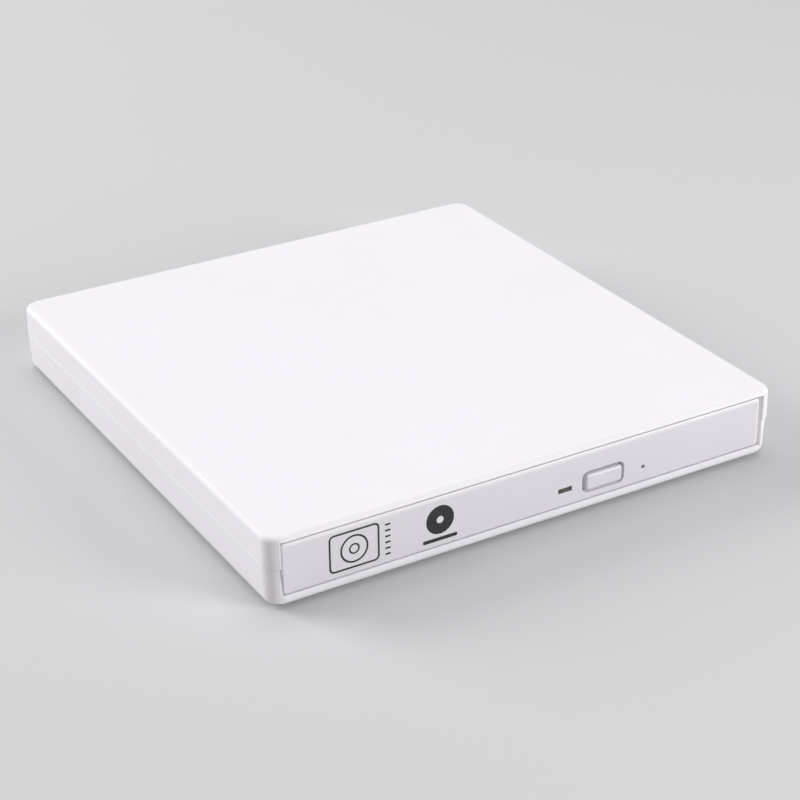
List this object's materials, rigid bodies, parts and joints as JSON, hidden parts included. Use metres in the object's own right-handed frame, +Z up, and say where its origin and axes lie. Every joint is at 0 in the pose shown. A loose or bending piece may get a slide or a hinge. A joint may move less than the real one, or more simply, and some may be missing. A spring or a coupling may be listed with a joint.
{
  "type": "external disc drive",
  "caption": "External slim disc drive: a two-part white plastic case around a drive whose tray slides out on telescoping rails, with an eject button, activity light and rear sockets.",
  "frame": {"origin": "under the middle of the case, on the plane of the feet's undersides", "axes": "+Z up, the bezel and the tray's way out toward -Y, +X to the right seen from the front"},
  "size_m": [0.137, 0.1423, 0.0181],
  "materials": {
    "shell": "fine satin white",
    "bezel": "satin pale grey",
    "screw_steel": "dark zinc",
    "rubber": "matt",
    "board": "solder mask",
    "black_plastic": "satin",
    "connector": "satin",
    "sheet_steel": "zinc-coated sheet",
    "gold": "plated",
    "acetal": "satin",
    "tray_plastic": "satin black",
    "ribbon": "polyimide film",
    "lens_glass": "coated",
    "pipe": "smoked clear",
    "copper": "lacquered",
    "alloy": "die cast"
  },
  "bodies": {
    "case": {"lower_shell": "shell", "upper_shell": "shell", "case_screws": "screw_steel", "rubber_feet": "rubber", "bridge_board": "board", "bridge_plug": "black_plastic", "bridge_chip": "black_plastic", "usb_socket": "sheet_steel", "usb_tongue": "black_plastic", "power_jack": "black_plastic", "power_jack_pin": "gold", "chassis_base": "sheet_steel", "chassis_cover": "sheet_steel", "chassis_screws": "screw_steel", "left_guide": "acetal", "right_guide": "acetal", "latch_post": "sheet_steel", "main_board": "board", "drive_socket": "black_plastic", "controller_chip": "black_plastic", "ribbon_connector": "connector", "flex_ribbon": "ribbon", "eject_housing": "acetal", "eject_spring": "sheet_steel"},
    "left_rail": {"left_rail": "sheet_steel"},
    "right_rail": {"right_rail": "sheet_steel"},
    "tray": {"tray": "tray_plastic", "bezel": "bezel", "under_plate": "sheet_steel", "under_plate_screws": "screw_steel", "tray_board": "board", "eject_switch": "sheet_steel", "activity_led": "connector", "light_pipe": "pipe", "traverse_frame": "sheet_steel", "dampers": "rubber", "damper_screws": "screw_steel", "shield_plate": "sheet_steel", "spindle_stator": "copper", "main_rod": "sheet_steel", "sub_rod": "sheet_steel", "sled_motor": "screw_steel", "solenoid": "copper"},
    "eject_button": {"eject_button": "bezel", "switch_actuator": "black_plastic"},
    "spindle": {"spindle_rotor": "sheet_steel", "turntable": "black_plastic", "turntable_pad": "rubber"},
    "claw_a": {"claw_a": "acetal"},
    "claw_b": {"claw_b": "acetal"},
    "claw_c": {"claw_c": "acetal"},
    "lead_screw": {"lead_screw": "sheet_steel"},
    "pickup": {"pickup_body": "alloy", "sled_nut": "acetal"},
    "lens": {"lens_holder": "black_plastic", "objective_lens": "lens_glass"},
    "latch": {"latch_lever": "acetal"},
    "solenoid_plunger": {"solenoid_plunger": "sheet_steel"},
    "ejector": {"eject_plunger": "acetal"}
  },
  "joints": [
    {"name": "tray_slide", "type": "slide", "parent": "case", "child": "tray", "axis": [0, -1, 0], "range_m": [0, 0.126], "deforming": ["flex_ribbon"]},
    {"name": "left_rail_slide", "type": "slide", "parent": "case", "child": "left_rail", "axis": [0, -1, 0], "range_m": [0, 0.063]},
    {"name": "right_rail_slide", "type": "slide", "parent": "case", "child": "right_rail", "axis": [0, -1, 0], "range_m": [0, 0.063]},
    {"name": "eject_plunger_slide", "type": "slide", "parent": "case", "child": "ejector", "axis": [0, -1, 0], "range_m": [0, 0.01], "deforming": ["eject_spring"]},
    {"name": "eject_button_press", "type": "slide", "parent": "tray", "child": "eject_button", "axis": [0, 1, 0], "range_m": [0, 0.0005], "stiffness_N_per_m": 2500},
    {"name": "spindle_spin", "type": "hinge", "parent": "tray", "child": "spindle", "pos_m": [-0.0007, -0.00615, 0.01185], "axis": [0, 0, 1], "continuous": true},
    {"name": "claw_a_slide", "type": "slide", "parent": "spindle", "child": "claw_a", "axis": [-0.7071, -0.7071, 0], "range_m": [-0.0005, 0], "stiffness_N_per_m": 500},
    {"name": "claw_b_slide", "type": "slide", "parent": "spindle", "child": "claw_b", "axis": [0.9659, -0.2588, 0], "range_m": [-0.0005, 0]},
    {"name": "claw_c_slide", "type": "slide", "parent": "spindle", "child": "claw_c", "axis": [-0.2588, 0.9659, 0], "range_m": [-0.0005, 0]},
    {"name": "sled_slide", "type": "slide", "parent": "tray", "child": "pickup", "axis": [-0.7071, -0.7071, 0], "range_m": [0, 0.034]},
    {"name": "lead_screw_spin", "type": "hinge", "parent": "tray", "child": "lead_screw", "pos_m": [-0.00954, -0.03974, 0.00955], "axis": [-0.7071, -0.7071, 0], "range_deg": [-4080, 0]},
    {"name": "lens_focus", "type": "slide", "parent": "pickup", "child": "lens", "axis": [0, 0, 1], "range_m": [-0.00025, 0.00025], "stiffness_N_per_m": 40},
    {"name": "latch_swing", "type": "hinge", "parent": "tray", "child": "latch", "pos_m": [0.0418, -0.04315, 0.00745], "axis": [0, 0, 1], "range_deg": [0, 12]},
    {"name": "solenoid_pull", "type": "slide", "parent": "tray", "child": "solenoid_plunger", "axis": [-1, 0, 0], "range_m": [0, 0.00166], "stiffness_N_per_m": 100}
  ],
  "couplings": [
    {"joint": "left_rail_slide", "follows": "tray_slide", "ratio": 0.5},
    {"joint": "right_rail_slide", "follows": "tray_slide", "ratio": 0.5},
    {"joint": "eject_plunger_slide", "follows": "tray_slide", "ratio": 0.0793},
    {"joint": "claw_b_slide", "follows": "claw_a_slide", "ratio": 1},
    {"joint": "claw_c_slide", "follows": "claw_a_slide", "ratio": 1},
    {"joint": "lead_screw_spin", "follows": "sled_slide", "rad_per_m": -2094},
    {"joint": "latch_swing", "follows": "solenoid_pull", "rad_per_m": 125}
  ]
}
